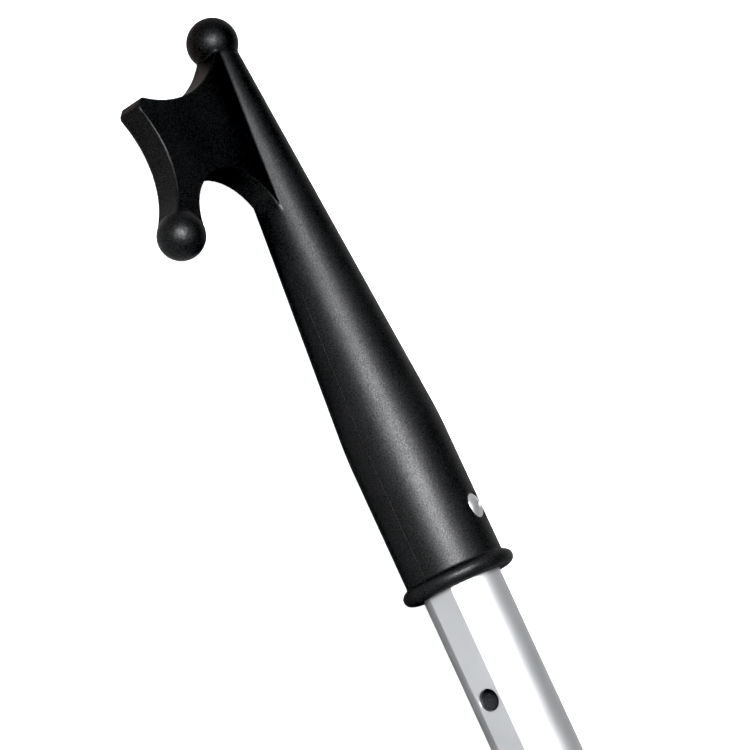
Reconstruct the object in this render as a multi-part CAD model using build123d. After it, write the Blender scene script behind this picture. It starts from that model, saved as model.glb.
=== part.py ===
from build123d import *
import math
import os

# Telescopic boat hook, in millimetres.
#
# It is modelled about its pole: X runs along the pole's centre line towards the hook head, with X = 0
# at the head's open end, +Y is the side that the hook reaches out to, and the hook's own plane is Z = 0.
# ORIGIN then moves every piece, so that the finished part lies on Z = 0 with its origin at the centre
# of its base. Cutting tools run a millimetre or more past the surfaces they cut.

os.makedirs("parts", exist_ok=True)

GAP = 0.05  # between pieces that are pressed or fastened together

# --- inner tube: 1 in aluminium with a flat rolled along the hook's side ---
INNER_R = 12.7
INNER_WALL = 1.5
INNER_FLAT = 11.92  # from the centre line to the flat's outer face
FLAT_CORNER_R = 0.4
TUBE_IN_HEAD = 60.0
INDEX_HOLE_R = 3.5
INDEX_PITCH = 101.6
INDEX_COUNT = 7
FIRST_HOLE_X = -35.4
INNER_END_X = FIRST_HOLE_X - (INDEX_COUNT - 1) * INDEX_PITCH - 100.0
PIN_X = FIRST_HOLE_X - INDEX_PITCH  # the lock pin stands in the second index hole

# --- hook head ---
SOCKET_R = 15.8
SOCKET_LENGTH = 50.3
SHOULDER_BLEND_R = 156.0
CONE_END_X = 181.5
CONE_END_R = 6.1
SOCKET_DEPTH = 60.5
CORE_START_R = 9.6
CORE_END_X = 118.0
CORE_END_R = 6.2
BEAD_RING_R = 15.8
BEAD_R = 2.4
TOP_BALL_X = 184.95
TOP_BALL_R = 8.15
WEB_THICKNESS = 8.8
THROAT = (122.6, 28.75)
THROAT_R = 19.8
HOOK_BALL = (125.25, 55.05)
HOOK_BALL_R = 7.4
PUSH_FACE = (151.5, 79.6)
PUSH_FACE_R = 29.7
SADDLE = (209.8, 37.3)
SADDLE_R = 42.7
SADDLE_ROOT_Y = 5.5  # the saddle's arc ends here, inside the top ball
TIP_OUTER_Y = 53.6
TIP_INNER_Y = 50.2
WEB_EDGE_R = 0.5
TIP_OUTER_CORNER_R = 1.6
TIP_INNER_CORNER_R = 0.8

# --- blind rivets, 5/32 in ---
RIVET_R = 2.0
RIVET_HEAD_R = 3.95
RIVET_HEAD_HEIGHT = 1.3
RIVET_TAIL_R = 2.9
RIVET_TAIL_LENGTH = 2.6
RIVET_TAIL_CORNER_R = 0.9
STEM_R = 1.15
STEM_HEAD_R = 1.8
STEM_HEAD_LENGTH = 1.2
STEM_BREAK_DEPTH = 0.5  # below the top of the rivet's dome
SPOTFACE_R = 4.3
SPOTFACE_R_FROM_AXIS = SOCKET_R - 0.5
HEAD_RIVET_X = 19.75
HEAD_RIVET_ANGLE = 101.0  # from +Y towards +Z

# --- outer tube ---
OUTER_R = 14.3
OUTER_WALL = 1.2
OUTER_BORE_R = OUTER_R - OUTER_WALL
OUTER_FRONT_X = PIN_X - 9.0
OUTER_END_X = -940.0

# --- lock collar ---
COLLAR_FRONT_X = PIN_X + 32.0
COLLAR_END_X = PIN_X - 53.0
COLLAR_R = 18.0
NOSE_R = 16.4
SLIDING_GAP = 0.2
SLOT_HALF = 5.2
BOSS_HALF = 8.8
BOSS_TOP_Y = 24.2
BOSS_ROOT_Y = 10.0
SLOT_FLOOR_Y = 16.7
PIN_HOLE_GAP = 0.3
PIN_HOLE_TRAVEL = 1.9  # the pin swings a little towards the head as it lifts
SPRING_POCKET_GAP = 0.3
SLIT = 2.4
LUG_HALF = 8.0
LUG_Y = -29.0
LUG_ROOT_Y = -14.0
SCREW_Y = -23.2
SCREW_XS = (PIN_X - 22.0, PIN_X - 42.0)
SCREW_R = 2.0
SCREW_HEAD_R = 3.9
SCREW_HEAD_HEIGHT = 2.4
SCREW_KEY = 2.5  # across the flats of its hexagon socket
SCREW_KEY_DEPTH = 1.5
SCREW_HEAD_RECESS = 1.4
SCREW_GAP = 0.2
NUT_ACROSS_FLATS = 7.0
NUT_HEIGHT = 3.2
NUT_POCKET_DEPTH = 2.6

# --- lock lever, its pin, pivot and spring ---
PIVOT_X = PIN_X - 28.0
PIVOT_Y = 20.0
PIVOT_R = 1.5
PIVOT_HEAD_R = 2.6
PIVOT_GROOVE_R = 1.15
CLIP_R = 3.1
CLIP_THICKNESS = 0.5
LEVER_HALF = 4.9
LEVER_UNDER_Y = 17.1
LEVER_TOP_Y = 24.3
PAD_LENGTH = 14.4
PAD_HALF = 8.2
PAD_THICKNESS = 2.6
PAD_RISE = 12.9
PAD_RIBS = 4
PAD_RIB_PITCH = 3.1
PAD_RIB_R = 0.55
LOCK_PIN_R = 2.5
LOCK_PIN_TIP_Y = 9.4
LOCK_PIN_TOP_Y = 20.6
SPRING_X = PIVOT_X - 14.0
SPRING_WIRE_R = 0.4
SPRING_R = 2.9  # to the middle of the wire
SPRING_LOW_Y = 15.6
SPRING_HIGH_Y = 22.7
SPRING_TURNS = 4

# --- grip, butt cap and floats ---
GRIP_FRONT_X = -750.0
GRIP_END_X = -923.0
GRIP_R = 16.9
GRIP_RING_R = 18.2
GRIP_GROOVE_PITCH = 6.0
GRIP_GROOVE_R = 0.9
BUTT_PLUG_LENGTH = 30.0
BUTT_PLUG_WALL = 2.6
BUTT_FLANGE_R = 16.2
BUTT_FLANGE = 7.0
BUTT_RIVET_X = -931.5
EYE_X = -953.0
EYE_OUTER_R = 9.0
EYE_HALF = 4.5
EYE_R = 3.0
EYE_CHAMFER = 0.8
GUIDE_R = 12.95
GUIDE_LENGTH = 12.0
GUIDE_PLUG_LENGTH = 25.0
SNAP_R = 2.9
SNAP_X = INNER_END_X + 12.0
INNER_FLOAT_R = 10.8
INNER_FLOAT_FLAT = 8.4
OUTER_FLOAT_FRONT_X = -864.0

# The part's base: it lies on its head's bead and its grip's rings.
BASE_Z = -(BEAD_RING_R + BEAD_R)
TIP_X = TOP_BALL_X + TOP_BALL_R
BUTT_X = EYE_X - EYE_OUTER_R
HOOK_Y = HOOK_BALL[1] + HOOK_BALL_R
ORIGIN = Vector((TIP_X + BUTT_X) / 2, (HOOK_Y + LUG_Y) / 2, BASE_Z)


def along_x(radius, x0, x1):
    """A round bar about the pole's centre line, from x0 to x1."""
    bar = Cylinder(radius, abs(x1 - x0), align=(Align.CENTER, Align.CENTER, Align.MIN))
    return Pos(min(x0, x1), 0, 0) * Rot(0, 90, 0) * bar


def along_z(radius, x, y, z0, z1):
    bar = Cylinder(radius, z1 - z0, align=(Align.CENTER, Align.CENTER, Align.MIN))
    return Pos(x, y, z0) * bar


def along_y(radius, x, y0, y1):
    bar = Cylinder(radius, y1 - y0, align=(Align.CENTER, Align.CENTER, Align.MIN))
    return Pos(x, y0, 0) * Rot(-90, 0, 0) * bar


def box(x, y, z):
    """A block between the two values of each pair."""
    block = Box(x[1] - x[0], y[1] - y[0], z[1] - z[0])
    return Pos(sum(x) / 2, sum(y) / 2, sum(z) / 2) * block


def turned(points):
    """The closed outline of (x, radius) points, turned about the pole's centre line."""
    return revolve(make_face(Polyline(*points, close=True)), Axis.X)


def slab(points, half, corner_r=0.0):
    """A side outline of (x, y) points, extruded to both sides of Z = 0."""
    face = make_face(Polyline(*points, close=True))
    if corner_r:
        face = fillet(face.vertices(), corner_r)
    return extrude(face, half, both=True)


def d_bar(radius, flat, x0, x1, corner_r=0.0):
    """A bar about the centre line whose section is a circle cut off at y = flat."""
    half_chord = math.sqrt(radius**2 - flat**2)
    section = Circle(radius) - Pos(0, flat + radius, 0) * Rectangle(4 * radius, 2 * radius)
    if corner_r:
        corners = [v for v in section.vertices() if abs(abs(v.X) - half_chord) < 0.01]
        section = fillet(corners, corner_r)
    # The section is drawn with its flat towards +Y and its normal along the pole.
    plane = Plane(origin=(x0, 0, 0), x_dir=(0, 0, -1), z_dir=(1, 0, 0))
    return extrude(plane * section, x1 - x0)


def rivet_frame(x, angle):
    """A frame on the centre line whose Z points out through a rivet at an angle from +Y."""
    outward = (0, math.cos(math.radians(angle)), math.sin(math.radians(angle)))
    return Plane(origin=(x, 0, 0), x_dir=(1, 0, 0), z_dir=outward)


def rivet_body(x, angle, seat, tail_seat):
    """A set blind rivet: domed head on its seat, hollow shank, and the tail swollen inside the wall."""
    dome_r = (RIVET_HEAD_R**2 + RIVET_HEAD_HEIGHT**2) / (2 * RIVET_HEAD_HEIGHT)
    dome = Pos(0, 0, seat + RIVET_HEAD_HEIGHT - dome_r) * Sphere(dome_r)
    dome &= Pos(0, 0, seat + dome_r) * Box(3 * dome_r, 3 * dome_r, 2 * dome_r)
    low = tail_seat - RIVET_TAIL_LENGTH
    shank = Cylinder(RIVET_R, seat - low + 0.2, align=(Align.CENTER, Align.CENTER, Align.MIN))
    tail = Pos(0, 0, low + RIVET_TAIL_LENGTH / 2 - GAP) * Cylinder(RIVET_TAIL_R, RIVET_TAIL_LENGTH)
    tail = fillet(tail.edges().filter_by(GeomType.CIRCLE), RIVET_TAIL_CORNER_R)
    hole_height = seat + RIVET_HEAD_HEIGHT - low + 2.0
    hole = Cylinder(STEM_R + GAP, hole_height, align=(Align.CENTER, Align.CENTER, Align.MIN))
    body = dome + Pos(0, 0, low) * shank + tail - Pos(0, 0, low - 1.0) * hole
    return rivet_frame(x, angle) * body


def rivet_stem(x, angle, seat, tail_seat):
    """The pulled stem left in a set rivet: broken off inside the head, its own head below the tail."""
    low = tail_seat - RIVET_TAIL_LENGTH - 2 * GAP
    top = seat + RIVET_HEAD_HEIGHT - STEM_BREAK_DEPTH
    shaft = Cylinder(STEM_R, top - low, align=(Align.CENTER, Align.CENTER, Align.MIN))
    stem_head = Cylinder(STEM_HEAD_R, STEM_HEAD_LENGTH, align=(Align.CENTER, Align.CENTER, Align.MAX))
    stem = Pos(0, 0, low) * shaft + Pos(0, 0, low) * stem_head
    stem = chamfer(stem.faces().sort_by(Axis.Z)[-1].edges(), 0.2)
    return rivet_frame(x, angle) * stem


# --- pieces of the inner pole ---


def hook_shank():
    """Round socket, its long shoulder and the taper up to the top ball, as one turned body."""
    line = FilletPolyline(
        (0, SOCKET_R), (SOCKET_LENGTH, SOCKET_R), (CONE_END_X, CONE_END_R), radius=SHOULDER_BLEND_R
    )
    base = Polyline((CONE_END_X, CONE_END_R), (CONE_END_X, 0), (0, 0), (0, SOCKET_R))
    shank = revolve(make_face(line.edges() + base.edges()), Axis.X)
    bead = Pos(BEAD_R, 0, 0) * Rot(0, 90, 0) * Torus(BEAD_RING_R, BEAD_R)
    return shank + bead


def on_arc(centre, radius, y):
    """The point at height y on the side of a circle that faces the head's open end."""
    return (centre[0] - math.sqrt(radius**2 - (y - centre[1]) ** 2), y)


def hook_web():
    """The flat web as one slab: shank to saddle, tip, push face and arm, rounded along its outer rims."""
    # The arm's outline ends inside the ball, where the push face passes nearest the ball's centre.
    away = math.dist(PUSH_FACE, HOOK_BALL)
    arm_end = tuple(p + (b - p) * PUSH_FACE_R / away for p, b in zip(PUSH_FACE, HOOK_BALL))
    push_mid = (PUSH_FACE[0], PUSH_FACE[1] - PUSH_FACE_R)
    tip_x = PUSH_FACE[0] + math.sqrt(PUSH_FACE_R**2 - (TIP_OUTER_Y - PUSH_FACE[1]) ** 2)
    tip_outer = (tip_x, TIP_OUTER_Y)
    tip_inner = on_arc(SADDLE, SADDLE_R, TIP_INNER_Y)
    saddle_mid = on_arc(SADDLE, SADDLE_R, SADDLE[1])
    saddle_root = on_arc(SADDLE, SADDLE_R, SADDLE_ROOT_Y)
    outline = [
        Polyline(saddle_root, (TOP_BALL_X, 0), (THROAT[0], 0), THROAT, HOOK_BALL, arm_end),
        ThreePointArc(arm_end, push_mid, tip_outer),
        Line(tip_outer, tip_inner),
        ThreePointArc(tip_inner, saddle_mid, saddle_root),
    ]
    face = make_face([e for part in outline for e in part.edges()])
    for corner, radius in ((tip_outer, TIP_OUTER_CORNER_R), (tip_inner, TIP_INNER_CORNER_R)):
        face = fillet(face.vertices().sort_by_distance((*corner, 0))[0], radius)
    web = extrude(face, WEB_THICKNESS / 2, both=True)
    flat = [e for e in web.edges() if e.bounding_box().size.Z < 0.01]
    middle = Vector((tip_outer[0] + tip_inner[0]) / 2, (tip_outer[1] + tip_inner[1]) / 2, 0)
    tip_length = math.dist(tip_outer, tip_inner)
    at_tip = [(e.center() - middle).length < (WEB_THICKNESS + tip_length) / 2 for e in flat]
    rims = [e for e, tip in zip(flat, at_tip) if tip or e.geom_type == GeomType.CIRCLE]
    return fillet(rims, WEB_EDGE_R)


def throat_cutter():
    """A round cutter for the web's throat, flared at the web's faces so that it leaves its rims rounded."""
    half = WEB_THICKNESS / 2
    reach = WEB_THICKNESS
    wide = THROAT_R + WEB_EDGE_R
    mid = WEB_EDGE_R * math.sqrt(0.5)
    rims = []
    for side in (-1, 1):
        inner = (THROAT_R, side * (half - WEB_EDGE_R))
        through = (wide - mid, side * (half - WEB_EDGE_R + mid))
        rims.append(ThreePointArc(inner, through, (wide, side * half)))
    sides = [
        Line((THROAT_R, WEB_EDGE_R - half), (THROAT_R, half - WEB_EDGE_R)),
        Polyline((wide, half), (wide, reach), (0, reach), (0, -reach), (wide, -reach), (wide, -half)),
    ]
    section = make_face([e for part in rims + sides for e in part.edges()])
    return Pos(*THROAT, 0) * revolve(Plane.XZ * section, Axis.Z)


def hook_head():
    """One moulding: socket, shank, web and both balls, bored to a keyed socket and cored above it."""
    head = hook_shank() + (hook_web() - throat_cutter())
    head += Pos(TOP_BALL_X, 0, 0) * Sphere(TOP_BALL_R)
    head += Pos(HOOK_BALL[0], HOOK_BALL[1], 0) * Rot(0, 0, 180) * Sphere(HOOK_BALL_R)
    head -= d_bar(INNER_R + GAP, INNER_FLAT + GAP, -1.0, SOCKET_DEPTH)
    core = turned(
        [
            (0, 0),
            (0, CORE_START_R),
            (SOCKET_DEPTH, CORE_START_R),
            (CORE_END_X, CORE_END_R),
            (CORE_END_X, 0),
        ]
    )
    head -= core
    for angle in (HEAD_RIVET_ANGLE, HEAD_RIVET_ANGLE + 180.0):
        frame = rivet_frame(HEAD_RIVET_X, angle)
        head -= frame * Pos(0, 0, INNER_R) * Cylinder(RIVET_R + GAP, 2 * SOCKET_R - INNER_R)
        spot = Cylinder(SPOTFACE_R, 3.0, align=(Align.CENTER, Align.CENTER, Align.MIN))
        head -= frame * Pos(0, 0, SPOTFACE_R_FROM_AXIS) * spot
    return head


def inner_tube():
    """D-section tube with the index holes in its flat, the rivet holes and the guide's snap holes."""
    tube = d_bar(INNER_R, INNER_FLAT, INNER_END_X, TUBE_IN_HEAD, FLAT_CORNER_R)
    tube -= d_bar(INNER_R - INNER_WALL, INNER_FLAT - INNER_WALL, INNER_END_X - 1, TUBE_IN_HEAD + 1)
    for k in range(INDEX_COUNT):
        tube -= along_y(INDEX_HOLE_R, FIRST_HOLE_X - k * INDEX_PITCH, 5.0, INNER_R + 1)
    tube -= rivet_frame(HEAD_RIVET_X, HEAD_RIVET_ANGLE) * Cylinder(RIVET_R + GAP, 3 * INNER_R)
    tube -= along_z(SNAP_R + GAP, SNAP_X, 0, -INNER_R - 1, INNER_R + 1)
    return tube


def head_rivets():
    """The two rivets that hold the head on the tube, one on each side."""
    seats = (HEAD_RIVET_ANGLE, HEAD_RIVET_ANGLE + 180.0)
    tail_seat = INNER_R - INNER_WALL - 0.25
    bodies = [rivet_body(HEAD_RIVET_X, a, SPOTFACE_R_FROM_AXIS + GAP, tail_seat) for a in seats]
    stems = [rivet_stem(HEAD_RIVET_X, a, SPOTFACE_R_FROM_AXIS + GAP, tail_seat) for a in seats]
    return Compound(children=bodies), Compound(children=stems)


def inner_float():
    """Closed-cell foam rod, flat on the pin's side so that the lock pin never meets it."""
    return d_bar(INNER_FLOAT_R, INNER_FLOAT_FLAT, INNER_END_X + GUIDE_PLUG_LENGTH + 2.0, 5.0)


def inner_guide():
    """Plastic guide at the tube's lower end, held by two moulded snaps, which slides in the outer tube."""
    end_x = INNER_END_X - GAP
    ring = along_x(GUIDE_R, end_x - GUIDE_LENGTH, end_x)
    ring = fillet(ring.edges().filter_by(GeomType.CIRCLE), 1.0)
    plug_r = INNER_R - INNER_WALL - GAP
    plug = d_bar(plug_r, INNER_FLAT - INNER_WALL - GAP, end_x - 1.0, INNER_END_X + GUIDE_PLUG_LENGTH)
    snaps = along_z(SNAP_R, SNAP_X, 0, -INNER_R, INNER_R) & along_x(INNER_R - 0.1, SNAP_X - 5, SNAP_X + 5)
    hollow = along_x(plug_r - 2.2, end_x - GUIDE_LENGTH - 1.0, INNER_END_X + GUIDE_PLUG_LENGTH + 1.0)
    return ring + plug + snaps - hollow


# --- pieces of the outer pole ---


def outer_tube():
    tube = along_x(OUTER_R, OUTER_END_X, OUTER_FRONT_X) - along_x(
        OUTER_BORE_R, OUTER_END_X - 1, OUTER_FRONT_X + 1
    )
    return tube - along_z(RIVET_R + GAP, BUTT_RIVET_X, 0, -OUTER_R - 1, OUTER_R + 1)


def collar_shell():
    """The collar's turned outside, its lever boss and its clamp lugs, before any hole is cut."""
    shell = turned(
        [
            (COLLAR_FRONT_X, 0),
            (COLLAR_FRONT_X, NOSE_R - 1.6),
            (COLLAR_FRONT_X - 0.8, NOSE_R - 0.5),
            (COLLAR_FRONT_X - 2.6, NOSE_R),
            (PIN_X + 14.0, NOSE_R + 0.3),
            (PIN_X + 6.0, COLLAR_R),
            (COLLAR_END_X + 2.0, COLLAR_R),
            (COLLAR_END_X + 0.6, COLLAR_R - 0.6),
            (COLLAR_END_X, COLLAR_R - 1.8),
            (COLLAR_END_X, 0),
        ]
    )
    boss = slab(
        [
            (PIN_X + 17.0, BOSS_ROOT_Y),
            (PIN_X + 13.0, 19.0),
            (PIN_X - 12.0, 21.0),
            (PIVOT_X + 7.0, BOSS_TOP_Y),
            (PIVOT_X - 6.0, BOSS_TOP_Y),
            (PIVOT_X - 17.0, 19.6),
            (COLLAR_END_X + 1.0, 17.0),
            (COLLAR_END_X + 1.0, BOSS_ROOT_Y),
        ],
        BOSS_HALF,
        1.2,
    )
    lugs = slab(
        [
            (PIN_X - 12.0, LUG_ROOT_Y),
            (PIN_X - 16.0, LUG_Y),
            (COLLAR_END_X + 5.0, LUG_Y),
            (COLLAR_END_X + 1.0, LUG_ROOT_Y),
        ],
        LUG_HALF,
        1.0,
    )
    lug_rims = [e for e in lugs.edges() if abs(e.center().Z) > LUG_HALF - 0.1]
    lugs = fillet([e for e in lug_rims if e.center().Y < LUG_ROOT_Y - 3.0], 1.2)
    boss_rims = [e for e in boss.edges() if e.center().Y > 17.5 and abs(e.center().Z) > BOSS_HALF - 0.1]
    boss = fillet(boss_rims, 1.4)
    return shell + boss + lugs


def lock_collar():
    """Keys the inner tube, clamps on the outer tube, and carries the lever."""
    collar = collar_shell()
    collar -= along_x(OUTER_R + GAP, COLLAR_END_X - 1.0, OUTER_FRONT_X + GAP)
    collar -= d_bar(INNER_R + SLIDING_GAP, INNER_FLAT + SLIDING_GAP, COLLAR_END_X, COLLAR_FRONT_X + 1.0)
    collar -= box((COLLAR_END_X - 1.0, PIN_X + 18.0), (SLOT_FLOOR_Y, 30.0), (-SLOT_HALF, SLOT_HALF))
    # The pin's hole is longer than it is wide, and leads from the slot's floor to the bore.
    hole_r = LOCK_PIN_R + PIN_HOLE_GAP
    hole_y = (5.0, SLOT_FLOOR_Y + 3.0)
    for x in (PIN_X, PIN_X + PIN_HOLE_TRAVEL):
        collar -= along_y(hole_r, x, *hole_y)
    collar -= box((PIN_X, PIN_X + PIN_HOLE_TRAVEL), hole_y, (-hole_r, hole_r))
    pocket_r = SPRING_R + SPRING_WIRE_R + SPRING_POCKET_GAP
    collar -= along_y(pocket_r, SPRING_X, SPRING_LOW_Y - GAP, 30.0)
    collar -= along_z(PIVOT_R + 0.02, PIVOT_X, PIVOT_Y, -2 * BOSS_HALF, 2 * BOSS_HALF)
    collar -= box((COLLAR_END_X - 1.0, OUTER_FRONT_X), (LUG_Y - 1.0, -OUTER_R + 1.0), (-SLIT / 2, SLIT / 2))
    for x in SCREW_XS:
        collar -= along_z(SCREW_R + SCREW_GAP, x, SCREW_Y, -2 * LUG_HALF, 2 * LUG_HALF)
        collar -= along_z(SCREW_HEAD_R + 0.3, x, SCREW_Y, LUG_HALF - SCREW_HEAD_RECESS, 2 * LUG_HALF)
        pocket = extrude(RegularPolygon((NUT_ACROSS_FLATS + 0.3) / 2, 6, major_radius=False), LUG_HALF)
        collar -= Pos(x, SCREW_Y, NUT_POCKET_DEPTH - 2 * LUG_HALF) * pocket
    return collar


def collar_screws():
    """Two M4 pan-head screws that draw the collar's lugs together."""
    screws = []
    seat = LUG_HALF - SCREW_HEAD_RECESS + GAP
    for x in SCREW_XS:
        pan = Cylinder(SCREW_HEAD_R, SCREW_HEAD_HEIGHT, align=(Align.CENTER, Align.CENTER, Align.MIN))
        pan = fillet(pan.edges().sort_by(Axis.Z)[-1], 1.2)
        recess = extrude(RegularPolygon(SCREW_KEY / 2, 6, major_radius=False), SCREW_HEAD_HEIGHT)
        pan -= Pos(0, 0, SCREW_HEAD_HEIGHT - SCREW_KEY_DEPTH) * recess
        pan = Pos(x, SCREW_Y, seat) * pan
        screws.append(pan + along_z(SCREW_R, x, SCREW_Y, -LUG_HALF - 1.0, seat + 0.2))
    return Compound(children=screws)


def collar_nuts():
    """Two M4 nuts, held from turning by their pockets in the lug."""
    nuts = []
    for x in SCREW_XS:
        nut = extrude(RegularPolygon(NUT_ACROSS_FLATS / 2, 6, major_radius=False), NUT_HEIGHT)
        nut -= Cylinder(SCREW_R + 0.02, 4 * NUT_HEIGHT)
        nuts.append(Pos(x, SCREW_Y, NUT_POCKET_DEPTH - LUG_HALF - GAP - NUT_HEIGHT) * nut)
    return Compound(children=nuts)


def lever_pivot_pin():
    """Headed pin through the boss and the lever, grooved for its clip."""
    pin = along_z(PIVOT_R, PIVOT_X, PIVOT_Y, -BOSS_HALF - 2.2, BOSS_HALF + 0.2)
    pin += along_z(PIVOT_HEAD_R, PIVOT_X, PIVOT_Y, BOSS_HALF + GAP, BOSS_HALF + 1.1)
    groove = along_z(PIVOT_R + 1, PIVOT_X, PIVOT_Y, -BOSS_HALF - 1.3, -BOSS_HALF - 0.6)
    return pin - (groove - along_z(PIVOT_GROOVE_R, PIVOT_X, PIVOT_Y, -BOSS_HALF - 3.0, BOSS_HALF))


def pivot_clip():
    """E-clip in the pivot pin's groove."""
    z0 = -BOSS_HALF - 1.2
    clip = along_z(CLIP_R, PIVOT_X, PIVOT_Y, z0, z0 + CLIP_THICKNESS)
    clip -= along_z(PIVOT_GROOVE_R + GAP, PIVOT_X, PIVOT_Y, z0 - 1, z0 + 1)
    clip -= box((PIVOT_X - 1.0, PIVOT_X + 1.0), (PIVOT_Y, PIVOT_Y + 4.0), (z0 - 1, z0 + 1))
    for side in (-1, 1):
        clip -= along_z(0.8, PIVOT_X + side * 1.75, PIVOT_Y - 0.6, z0 - 1, z0 + 1)
    return clip


def lever_spring():
    """Compression spring under the lever's thumb pad."""
    height = SPRING_HIGH_Y - SPRING_LOW_Y - 2 * SPRING_WIRE_R
    path = Helix(height / SPRING_TURNS, height, SPRING_R)
    start = path @ 0
    section = Plane(origin=start, z_dir=path % 0) * Circle(SPRING_WIRE_R)
    coil = sweep(section, path, is_frenet=True)
    return Pos(SPRING_X, SPRING_LOW_Y + SPRING_WIRE_R, 0) * Rot(-90, 0, 0) * coil


def rear_grip():
    """Ribbed rubber sleeve: a plain ring at each end and a row of grooves between them."""
    x0, x1 = GRIP_END_X, GRIP_FRONT_X
    sleeve = turned(
        [
            (x0, OUTER_R + GAP),
            (x0, GRIP_RING_R - 1.0),
            (x0 + 1.0, GRIP_RING_R),
            (x0 + 7.0, GRIP_RING_R),
            (x0 + 9.5, GRIP_R),
            (x1 - 9.5, GRIP_R),
            (x1 - 7.0, GRIP_RING_R),
            (x1 - 3.0, GRIP_RING_R),
            (x1, GRIP_RING_R - 2.2),
            (x1, OUTER_R + GAP),
        ]
    )
    first = x0 + 14.0
    count = int((x1 - 14.0 - first) / GRIP_GROOVE_PITCH) + 1
    for k in range(count):
        groove = Torus(GRIP_R, GRIP_GROOVE_R)
        sleeve -= Pos(first + k * GRIP_GROOVE_PITCH, 0, 0) * Rot(0, 90, 0) * groove
    return sleeve


def butt_cap():
    """Moulded cap: a hollow plug in the tube, a flange over its end, and an eye for a lanyard."""
    plug_r = OUTER_BORE_R - GAP
    seat = OUTER_END_X - GAP
    cap = along_x(plug_r, seat - 1.0, OUTER_END_X + BUTT_PLUG_LENGTH)
    flange = along_x(BUTT_FLANGE_R, seat - BUTT_FLANGE, seat)
    flange = fillet(flange.edges().filter_by(GeomType.CIRCLE).sort_by(Axis.X)[0], 3.5)
    flange = fillet(flange.edges().filter_by(GeomType.CIRCLE).sort_by(Axis.X)[-1], 0.6)
    eye = along_z(EYE_OUTER_R, EYE_X, 0, -EYE_HALF, EYE_HALF)
    eye += box((EYE_X, seat - 2.0), (-EYE_OUTER_R, EYE_OUTER_R), (-EYE_HALF, EYE_HALF))
    faces = [e for e in eye.edges() if abs(abs(e.center().Z) - EYE_HALF) < 0.01]
    eye = fillet([e for e in faces if e.center().X < seat - 2.1], 1.2)
    cap += flange + eye
    cap -= along_x(plug_r - BUTT_PLUG_WALL, OUTER_END_X + 3.0, OUTER_END_X + BUTT_PLUG_LENGTH + 1.0)
    cap -= along_z(RIVET_R + GAP, BUTT_RIVET_X, 0, -OUTER_R - 1, OUTER_R + 1)
    hole = along_z(EYE_R, EYE_X, 0, -EYE_HALF - 1, EYE_HALF + 1)
    for side in (-1, 1):
        mouth = Cone(EYE_R, EYE_R + 2 * EYE_CHAMFER, 2 * EYE_CHAMFER)
        lead = Pos(EYE_X, 0, side * EYE_HALF) * Rot(90 - 90 * side, 0, 0) * mouth
        hole += lead
    return cap - hole


def butt_rivets():
    """The two rivets that hold the butt cap, above and below."""
    tail_seat = OUTER_BORE_R - GAP - BUTT_PLUG_WALL - 0.35
    bodies = [rivet_body(BUTT_RIVET_X, a, OUTER_R + GAP, tail_seat) for a in (90.0, 270.0)]
    stems = [rivet_stem(BUTT_RIVET_X, a, OUTER_R + GAP, tail_seat) for a in (90.0, 270.0)]
    return Compound(children=bodies), Compound(children=stems)


def outer_float():
    """Closed-cell foam plug in the outer tube, between the inner pole's lowest reach and the butt cap."""
    return along_x(OUTER_BORE_R - 0.1, OUTER_FLOAT_FRONT_X, OUTER_END_X + BUTT_PLUG_LENGTH + 1.0)


# --- the lock lever ---


def lock_lever():
    """Rocker with its pin at the head end and a ribbed thumb pad over the spring."""
    rise = math.radians(PAD_RISE)
    pad_front = (PIVOT_X - 13.0, 27.0)
    pad_back = (pad_front[0] - PAD_LENGTH * math.cos(rise), pad_front[1] + PAD_LENGTH * math.sin(rise))
    bar = slab(
        [
            (PIN_X + 7.5, LEVER_UNDER_Y),
            (PIN_X + 7.5, 19.6),
            (PIN_X + 4.0, 22.2),
            (PIN_X - 13.0, 23.0),
            (PIVOT_X, LEVER_TOP_Y),
            pad_front,
            pad_back,
            (PIVOT_X - 29.5, 28.6),
            (PIVOT_X - 28.0, 26.2),
            (PIVOT_X - 19.0, 22.9),
            (PIVOT_X - 9.5, 22.9),
            (PIVOT_X - 5.5, 19.4),
            (PIVOT_X - 1.0, LEVER_UNDER_Y),
        ],
        LEVER_HALF,
        0.6,
    )
    bar = fillet([e for e in bar.edges() if abs(abs(e.center().Z) - LEVER_HALF) < 0.01], 0.4)
    plan = RectangleRounded(PAD_LENGTH + 2.5, 2 * PAD_HALF, 3.0)
    pad = extrude(plan, -PAD_THICKNESS)
    pad = fillet(pad.faces().sort_by(Axis.Z)[-1].edges(), 0.7)
    for k in range(PAD_RIBS):
        rib = Rot(90, 0, 0) * Cylinder(PAD_RIB_R, 1.3 * PAD_HALF)
        pad += Pos((k - (PAD_RIBS - 1) / 2) * PAD_RIB_PITCH, 0, 0.1) * rib
    # The pad's own frame: its top faces outwards, tipped up towards the butt.
    middle = ((pad_front[0] + pad_back[0]) / 2, (pad_front[1] + pad_back[1]) / 2, 0)
    backwards = (-math.cos(rise), math.sin(rise), 0)
    outwards = (math.sin(rise), math.cos(rise), 0)
    top = Plane(origin=middle, x_dir=backwards, z_dir=outwards)
    lever = bar + top * pad
    lever -= along_z(PIVOT_R + 0.05, PIVOT_X, PIVOT_Y, -LEVER_HALF - 1, LEVER_HALF + 1)
    return lever - along_y(LOCK_PIN_R + 0.02, PIN_X, LEVER_UNDER_Y - 1, LOCK_PIN_TOP_Y + GAP)


def lock_pin():
    """Hardened pin pressed into the lever, chamfered at its tip."""
    pin = along_y(LOCK_PIN_R, PIN_X, LOCK_PIN_TIP_Y, LOCK_PIN_TOP_Y)
    return chamfer(pin.edges().filter_by(GeomType.CIRCLE).sort_by(Axis.Y)[0], 0.5)


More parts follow.
